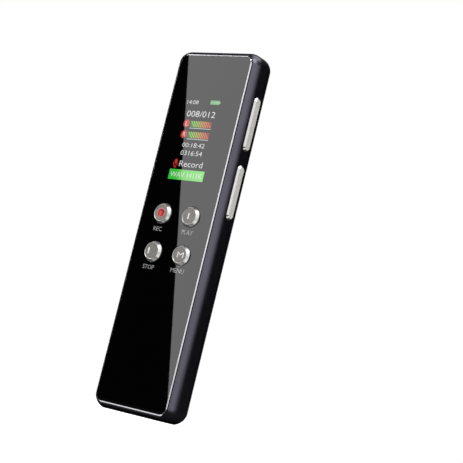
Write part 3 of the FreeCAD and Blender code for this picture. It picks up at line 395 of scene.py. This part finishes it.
LABEL = printed("label_ink", (0.58, 0.58, 0.59), 0.4, glass=1.0)
# white ink on the keys with a painted glow, brighter than the ink alone
KEY_INK_PAINTED_GLOW = printed("key_ink_painted_glow", (0.96, 0.96, 0.94), 0.35, 0.22)
# a pink painted highlight, for the lit edge of the red dot's dish
PINK_PAINTED_HIGHLIGHT = printed("pink_painted_highlight", (0.80, 0.32, 0.31), 0.35)
BACK_INK = printed("back_ink", (0.62, 0.62, 0.62), 0.45)
WHITE_LIGHT = glowing("screen_white", (0.85, 0.86, 0.86), 0.85)
DIM_LIGHT = glowing("screen_dim_white", (0.66, 0.70, 0.68), 0.8)
GREEN_LIGHT = shaded_light("screen_green", BAR_LEFT, BAR_RIGHT, 0.95, BAR_RUN)
PALE_GREEN = glowing("screen_pale_green", (0.35, 0.75, 0.36), 0.8)
RED_LIGHT = glowing("screen_red", (0.62, 0.04, 0.03), 0.8)
METER_LIGHT = shaded_light("screen_meter", METER_LEFT, METER_RIGHT, 0.85, METER_RUN)
METER_GROUND = shaded_light("screen_meter_ground", METER_LEFT, METER_RIGHT, 0.25, METER_RUN)


# ---------------------------------------------------------------------------------------------
# Flat prints: closed thin plates cut to shape
# ---------------------------------------------------------------------------------------------
class Face:
    """A plane that prints lie on: turns (u, v) in millimetres into points of the model."""

    def __init__(self, y, outward):
        self.y, self.outward = y, outward

    def point(self, u, v, lift):
        return Vector((u, self.y + self.outward * lift, v)) * MM


FRONT = Face(GLASS_Y, -1)
BACK = Face(PANEL_Y, 1)


def finish_mesh(name, bm, material, body="housing"):
    """Turn a bmesh into an object that rides on that body."""
    bmesh.ops.recalc_face_normals(bm, faces=bm.faces)
    mesh = bpy.data.meshes.new(name)
    bm.to_mesh(mesh)
    bm.free()
    mesh.materials.append(material)
    obj = bpy.data.objects.new(name, mesh)
    scene.collection.objects.link(obj)
    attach(obj, body)
    return obj


def add_plate(bm, face, outline, low=PRINT, high=PRINT + INK):
    """A closed plate over one outline of (u, v) points."""
    under = [bm.verts.new(face.point(u, v, low)) for u, v in outline]
    over = [bm.verts.new(face.point(u, v, high)) for u, v in outline]
    bm.faces.new(under)
    bm.faces.new(over)
    for i in range(len(outline)):
        j = (i + 1) % len(outline)
        bm.faces.new((under[i], under[j], over[j], over[i]))


def add_ring(bm, face, outer, inner, low=PRINT, high=PRINT + INK):
    """A closed band between two outlines with the same number of points."""
    rows = [
        [bm.verts.new(face.point(u, v, lift)) for u, v in outline]
        for outline, lift in ((outer, low), (outer, high), (inner, high), (inner, low))
    ]
    for a, b in zip(rows, rows[1:] + rows[:1]):
        for i in range(len(outer)):
            j = (i + 1) % len(outer)
            bm.faces.new((a[i], a[j], b[j], b[i]))


def circle(u, v, radius, count=40, start=0.0, sweep=360.0):
    """Points round a circle, or along an arc of it with both its ends."""
    steps = count if sweep >= 360 else count + 1
    angles = (math.radians(start + sweep * i / count) for i in range(steps))
    return [(u + radius * math.cos(a), v + radius * math.sin(a)) for a in angles]


def box_outline(u0, v0, u1, v1):
    return [(u0, v0), (u1, v0), (u1, v1), (u0, v1)]


CORNER_STEPS = 5
ARC_STEPS = 20


def rounded_box(u0, v0, u1, v1, r):
    corners = (
        (u1 - r, v0 + r, -90), (u1 - r, v1 - r, 0), (u0 + r, v1 - r, 90), (u0 + r, v0 + r, 180),
    )
    return [
        (cu + r * math.cos(math.radians(a + 90 * i / CORNER_STEPS)),
         cv + r * math.sin(math.radians(a + 90 * i / CORNER_STEPS)))
        for cu, cv, a in corners for i in range(CORNER_STEPS + 1)
    ]


def arc_band(u, v, radius, width, start, sweep):
    """An arc with thickness, as one outline."""
    out = circle(u, v, radius + width / 2, ARC_STEPS, start, sweep)
    back = circle(u, v, radius - width / 2, ARC_STEPS, start, sweep)
    return out + back[::-1]


def plates(name, outlines, material, face=FRONT, body="housing", low=PRINT, high=PRINT + INK):
    """One object of closed plates, one over each outline."""
    bm = bmesh.new()
    for outline in outlines:
        add_plate(bm, face, outline, low, high)
    return finish_mesh(name, bm, material, body)


def text(
    name, words, u0, v0, u1, v1, material, face=FRONT, body="housing", low=PRINT, thin=0.008,
):
    """Plain sans lettering squeezed to fill the box from (u0, v0) to (u1, v1).

    thin is how much each stroke loses on each side, in heights of the type.
    """
    curve = bpy.data.curves.new(name, "FONT")
    curve.body = words
    curve.resolution_u = 3
    curve.extrude = 0.5
    curve.offset = -thin
    shape = bpy.data.objects.new(name, curve)
    scene.collection.objects.link(shape)
    depsgraph = bpy.context.evaluated_depsgraph_get()
    made = bpy.data.meshes.new_from_object(shape.evaluated_get(depsgraph))
    bpy.data.objects.remove(shape)
    bpy.data.curves.remove(curve)
    xs = [v.co.x for v in made.vertices]
    ys = [v.co.y for v in made.vertices]
    left, foot = min(xs), min(ys)
    wide = (u1 - u0) / (max(xs) - left)
    tall = (v1 - v0) / (max(ys) - foot)
    for vertex in made.vertices:
        u = u0 + (vertex.co.x - left) * wide
        v = v0 + (vertex.co.y - foot) * tall
        if face.outward > 0:
            u = u0 + u1 - u     # mirrored, to read from behind
        vertex.co = face.point(u, v, low + INK * (vertex.co.z + 0.5))
    bm = bmesh.new()
    bm.from_mesh(made)
    bpy.data.meshes.remove(made)
    bmesh.ops.remove_doubles(bm, verts=bm.verts, dist=1e-7)
    return finish_mesh(name, bm, material, body)


def text_at(name, words, u, v, width, height, material, **more):
    """Lettering given by the middle of its box and its size."""
    u0, v0, u1, v1 = u - width / 2, v - height / 2, u + width / 2, v + height / 2
    return text(name, words, u0, v0, u1, v1, material, **more)


# the keys' legends, on the glass
for name, words, u, v, width, height in (
    ("record_label", "REC", -5.5, 50.1, 2.9, 1.15),
    ("play_label", "PLAY", 4.9, 50.1, 3.8, 1.2),
    ("stop_label", "STOP", -5.4, 39.4, 3.9, 1.15),
    ("menu_label", "MENU", 4.7, 39.5, 4.6, 1.2),
):
    text_at(name, words, u, v, width, height, LABEL, thin=0.005)

# the marks on the keys, in white ink with a painted glow
MARK_HALF_WIDTH, MARK_HALF_HEIGHT, MARK_CORNER = 0.22, 0.85, 0.15
CAP = Face(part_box("play_button")[0].y / MM + KEY_DISH, -1)
for key, aside in (("play", -0.2), ("stop", -1.0)):
    x, z = key_centre(key)
    x += aside
    stroke = rounded_box(
        x - MARK_HALF_WIDTH, z - MARK_HALF_HEIGHT, x + MARK_HALF_WIDTH, z + MARK_HALF_HEIGHT, MARK_CORNER,
    )
    plates(f"{key}_mark", [stroke], KEY_INK_PAINTED_GLOW, CAP, f"{key}_key", CAP_LOW, CAP_HIGH)
x, z = key_centre("menu")
text_at("menu_mark", "M", x + 0.3, z, 2.1, 1.55, KEY_INK_PAINTED_GLOW, face=CAP, body="menu_key", low=CAP_LOW)
x, z = key_centre("record")
# round the red dot, a pink ring of painted highlight where the dish's edge catches the light
ring = bmesh.new()
add_ring(ring, CAP, circle(x, z, 1.36), circle(x, z, 1.10), CAP_LOW, CAP_HIGH)
finish_mesh("record_mark", ring, PINK_PAINTED_HIGHLIGHT, "record_key")

# the screen: clock, battery, counter, level meters, times, status and format
text("clock_digits", "14:08", -6.2, 85.8, -2.3, 86.9, WHITE_LIGHT)
battery = bmesh.new()
add_ring(battery, FRONT, box_outline(1.9, 86.0, 4.95, 87.1), box_outline(2.05, 86.15, 4.8, 86.95))
add_plate(battery, FRONT, box_outline(5.0, 86.3, 5.26, 86.8))
for cell in range(4):
    u = 2.15 + 0.66 * cell
    add_plate(battery, FRONT, box_outline(u, 86.25, u + 0.55, 86.85))
finish_mesh("battery_icon", battery, PALE_GREEN)
text("file_counter", "008/012", -5.3, 82.2, 4.5, 83.9, WHITE_LIGHT)
METER_HEIGHT = 1.75
STRIPES, STRIPE_PITCH, STRIPE_WIDTH, STRIPE_SLANT = 8, 0.80, 0.42, 1.45
for side, height in (("L", 80.2), ("R", 77.1)):
    plates(f"channel_disc_{side}", [circle(-4.6, height, 1.12)], RED_LIGHT)
    text_at(f"channel_letter_{side}", side, -4.55, height, 0.8, 1.2, WHITE_LIGHT, low=OVERPRINT)
    foot = height - 0.95
    top = foot + METER_HEIGHT
    stripes = []
    for i in range(STRIPES):
        u = METER_LEFT + STRIPE_PITCH * i
        lower = u + STRIPE_SLANT
        stripes.append([(lower, foot), (lower + STRIPE_WIDTH, foot), (u + STRIPE_WIDTH, top), (u, top)])
    plates(f"level_ground_{side}", [box_outline(METER_LEFT, foot, METER_RIGHT, top)], METER_GROUND)
    plates(f"level_meter_{side}", stripes, METER_LIGHT, low=OVERPRINT, high=PRINT + 2 * INK)
    scale = box_outline(METER_LEFT, height - 1.35, METER_RIGHT, height - 1.17)
    plates(f"level_scale_{side}", [scale], DIM_LIGHT)
text("record_time", "00:18:42", -4.2, 73.5, 3.5, 74.75, WHITE_LIGHT)
text("time_left", "0316:54", -4.1, 71.2, 3.3, 72.5, WHITE_LIGHT)
mic = bmesh.new()
add_plate(mic, FRONT, rounded_box(-5.45, 68.6, -4.45, 69.95, 0.48))
add_plate(mic, FRONT, arc_band(-4.95, 68.95, 0.85, 0.2, 180, 180))
add_plate(mic, FRONT, box_outline(-5.05, 67.75, -4.85, 68.2))
add_plate(mic, FRONT, box_outline(-5.45, 67.55, -4.45, 67.75))
finish_mesh("microphone_icon", mic, RED_LIGHT)
text("status_word", "Record", -3.6, 67.95, 4.4, 69.6, WHITE_LIGHT)
plates("format_bar", [box_outline(BAR_LEFT, 64.2, BAR_RIGHT, 67.1)], GREEN_LIGHT)
text("format_words", "WAV 1411K", -5.8, 64.95, 5.1, 66.35, WHITE_LIGHT, low=OVERPRINT)

# the back: headphones, a bolt and a power mark beside the sockets and the slide
icons = bmesh.new()
ICON_U = -10.6
add_plate(icons, BACK, arc_band(ICON_U, 92.0, 0.75, 0.16, 0, 180))
for side in (-1, 1):
    u = ICON_U + side * 0.75
    add_plate(icons, BACK, rounded_box(u - 0.2, 91.2, u + 0.2, 92.1, 0.15))
add_plate(icons, BACK, [
    (ICON_U - 0.1, 82.4), (ICON_U + 0.5, 81.3), (ICON_U + 0.08, 81.35),
    (ICON_U + 0.2, 80.5), (ICON_U - 0.45, 81.7), (ICON_U - 0.02, 81.65),
])
add_plate(icons, BACK, arc_band(ICON_U, 68.6, 0.65, 0.15, 125, 290))
add_plate(icons, BACK, box_outline(ICON_U - 0.08, 68.7, ICON_U + 0.08, 69.5))
finish_mesh("back_icons", icons, BACK_INK)

# a plain caption, two rules and a row of plain outlines
text("back_caption", "Voice Recorder", -6.6, 16.9, 6.6, 18.6, BACK_INK, face=BACK)
rules = [box_outline(-half, v, half, v + 0.12) for half, v in ((9.2, 15.2), (5.3, 13.2))]
plates("back_rules", rules, BACK_INK, BACK)
marks = bmesh.new()
for i, sides in enumerate((40, 4, 3, 6, 8)):
    u = -7.0 + 3.5 * i
    add_ring(marks, BACK, circle(u, 9.2, 1.0, sides, 45), circle(u, 9.2, 0.82, sides, 45))
finish_mesh("back_marks", marks, BACK_INK)


# ---------------------------------------------------------------------------------------------
# Studio
# ---------------------------------------------------------------------------------------------
def light_path_mix(tree, seen, unseen, out):
    """What the camera sees directly, and what everything else gets."""
    path = tree.nodes.new("ShaderNodeLightPath")
    mix = tree.nodes.new("ShaderNodeMixShader")
    tree.links.new(path.outputs["Is Camera Ray"], mix.inputs[0])
    tree.links.new(unseen.outputs[0], mix.inputs[1])
    tree.links.new(seen.outputs[0], mix.inputs[2])
    tree.links.new(mix.outputs[0], out.inputs[0])


world = bpy.data.worlds.new("studio")
scene.world = world
world.use_nodes = True
tree = world.node_tree
tree.nodes.clear()
white = tree.nodes.new("ShaderNodeBackground")
white.inputs[0].default_value = (1, 1, 1, 1)
dark = tree.nodes.new("ShaderNodeBackground")
dark.inputs[0].default_value = (0.5, 0.5, 0.52, 1)
dark.inputs[1].default_value = 0.02
light_path_mix(tree, white, dark, tree.nodes.new("ShaderNodeOutputWorld"))

FLOOR_HALF = 3.0
FLOOR_CORNERS = [(x * FLOOR_HALF, y * FLOOR_HALF, 0) for x, y in ((-1, -1), (1, -1), (1, 1), (-1, 1))]
floor_mesh = bpy.data.meshes.new("floor")
floor_mesh.from_pydata(FLOOR_CORNERS, [], [(0, 1, 2, 3)])
floor = bpy.data.objects.new("floor", floor_mesh)
scene.collection.objects.link(floor)
floor_mat = bpy.data.materials.new("pale_floor")
floor_mat.use_nodes = True
tree = floor_mat.node_tree
tree.nodes.clear()
diffuse = tree.nodes.new("ShaderNodeBsdfDiffuse")
diffuse.inputs[0].default_value = (0.8, 0.8, 0.8, 1)
glow = tree.nodes.new("ShaderNodeEmission")
coords = tree.nodes.new("ShaderNodeTexCoord")
distance = tree.nodes.new("ShaderNodeVectorMath")
distance.operation = "LENGTH"
tree.links.new(coords.outputs["Object"], distance.inputs[0])
# the floor's own glow, a little less right round the recorder's foot: a painted contact shadow
painted_shadow_fade = tree.nodes.new("ShaderNodeMapRange")
NEAR, FAR, NEAR_PAINTED_SHADOW_GLOW, FAR_GLOW = 0.01, 0.06, 0.75, 1.0
for number, name in (
    (NEAR, "From Min"), (FAR, "From Max"), (NEAR_PAINTED_SHADOW_GLOW, "To Min"), (FAR_GLOW, "To Max"),
):
    painted_shadow_fade.inputs[name].default_value = number
tree.links.new(distance.outputs["Value"], painted_shadow_fade.inputs[0])
tree.links.new(painted_shadow_fade.outputs[0], glow.inputs[1])
both = tree.nodes.new("ShaderNodeAddShader")
tree.links.new(diffuse.outputs[0], both.inputs[0])
tree.links.new(glow.outputs[0], both.inputs[1])
bounce = tree.nodes.new("ShaderNodeBsdfDiffuse")
bounce.inputs[0].default_value = (0.06, 0.06, 0.06, 1)
light_path_mix(tree, both, bounce, tree.nodes.new("ShaderNodeOutputMaterial"))
floor_mesh.materials.append(floor_mat)


AIM = Vector((0, 0, 0.05))      # the middle of the recorder, which the lights face


def softbox(name, width, height, radiance):
    """A rectangular lamp of that size, in metres, and that brightness, unseen by the camera."""
    data = bpy.data.lights.new(name, "AREA")
    data.shape = "RECTANGLE"
    data.size, data.size_y = width, height
    data.energy = radiance * math.pi * width * height
    lamp = bpy.data.objects.new(name, data)
    lamp.visible_camera = False
    scene.collection.objects.link(lamp)
    return lamp


def area_light(name, place, width, height, radiance, target=AIM):
    """A softbox at a place, facing its target."""
    lamp = softbox(name, width, height, radiance)
    lamp.location = place
    lamp.rotation_mode = "QUATERNION"
    lamp.rotation_quaternion = (target - Vector(place)).to_track_quat("-Z", "Y")


def card_light(name, corner, along, across, radiance):
    """A softbox given by one corner and its two edges, its lit side to the recorder."""
    a, b = Vector(along), Vector(across)
    centre = Vector(corner) + (a + b) / 2
    if a.cross(b).dot(centre - AIM) < 0:
        a, b = b, a
    x, y = a.normalized(), b.normalized()
    z = x.cross(y)
    lamp = softbox(name, a.length, b.length, radiance)
    lamp.matrix_world = Matrix((
        (x.x, y.x, z.x, centre.x), (x.y, y.y, z.y, centre.y), (x.z, y.z, z.z, centre.z),
        (0, 0, 0, 1),
    ))


# camera: low, to the right of the screen's axis and tilted over
CAMERA = Vector((0.22215, -0.27035, 0.0035))
forward = Vector((-0.5996, 0.7857, 0.1521)).normalized()
right = Vector((0.7943, 0.5609, 0.2336)).normalized()
up = right.cross(forward).normalized()
TURN_DOWN, TURN_LEFT = 0.0087, 0.0021   # radians
forward = (forward - TURN_DOWN * up - TURN_LEFT * right).normalized()
right = forward.cross(up).normalized()
up = right.cross(forward)
camera = bpy.data.objects.new("camera", bpy.data.cameras.new("camera"))
scene.collection.objects.link(camera)
camera.data.sensor_width = 36.0
camera.data.lens = 101.0
camera.data.clip_start = 0.01
camera.matrix_world = Matrix((
    (right.x, up.x, -forward.x, CAMERA.x), (right.y, up.y, -forward.y, CAMERA.y),
    (right.z, up.z, -forward.z, CAMERA.z), (0, 0, 0, 1),
))
scene.camera = camera

# the card whose slanted edge is mirrored down the glass
mirror_eye = Vector((CAMERA.x, 2 * GLASS_Y * MM - CAMERA.y, CAMERA.z))
CARD_REACH = 2.5                        # how far the card is, in the camera's distances
EDGE_TOP, EDGE_LOW = (-9.96, 100.2), (11.6, 7.7)    # where its edge shows on the glass
CARD_START, CARD_LENGTH = 0.12, 1.17    # how it runs on past both, in lengths of that edge
CARD_WIDTH = 0.11


def mirrored(u, v):
    """The place on the card's plane that the glass shows the camera at (u, v)."""
    return mirror_eye + (FRONT.point(u, v, 0) - mirror_eye) * CARD_REACH


edge_top = mirrored(*EDGE_TOP)
edge = mirrored(*EDGE_LOW) - edge_top
side = Vector((-edge.z, 0, edge.x)).normalized()
card_light("glass_card", edge_top - edge * CARD_START, edge * CARD_LENGTH, side * CARD_WIDTH, 3.0)


def arc_light(name, low_angle, high_angle, distance, low_z, high_z, radiance):
    """A softbox that spans those angles about the recorder, counted from +X towards +Y."""
    middle = math.radians((low_angle + high_angle) / 2)
    width = 2 * distance * math.tan(math.radians(high_angle - low_angle) / 2)
    place = Vector((distance * math.cos(middle), distance * math.sin(middle), (low_z + high_z) / 2))
    area_light(name, place, width, high_z - low_z, radiance, Vector((0, 0, place.z)))


# the light band down the right side, fading towards the back
arc_light("front_right", -64, -20, 0.60, 0.0, 0.46, 1.02)
arc_light("right", -20, 4, 0.60, 0.0, 0.40, 1.04)
arc_light("right_fade", 4, 16, 0.60, 0.0, 0.40, 0.75)
arc_light("right_far_fade", 16, 28, 0.60, 0.0, 0.40, 0.40)
# from above: the keys' walls, the top of the front rim and the matt faces
area_light("overhead", (0.14, 0.22, 0.80), 0.6, 0.5, 1.6)
area_light("over_left", (-0.50, -0.08, 0.82), 0.24, 0.24, 1.1, Vector((0, 0, 0.10)))
area_light("front_high", (-0.05, -0.55, 0.65), 0.5, 0.3, 6.0)
arc_light("back_left", 108, 128, 0.70, 0.0, 0.50, 1.3)
area_light("high_right", (0.44, -0.26, 0.72), 0.5, 0.5, 3.5)
# cards on the floor, mirrored in the keys' walls and in the bottom of the front rim
card_light("floor_right", (0.030, -0.055, 0.0003), (0.22, 0, 0), (0, 0.055, 0), 1.0)
card_light("floor_front", (-0.018, -0.0082, 0.0003), (0.029, 0, 0), (0, 0.0036, 0), 1.0)
area_light("left_high", (-0.62, -0.20, 0.66), 0.45, 0.35, 2.0)
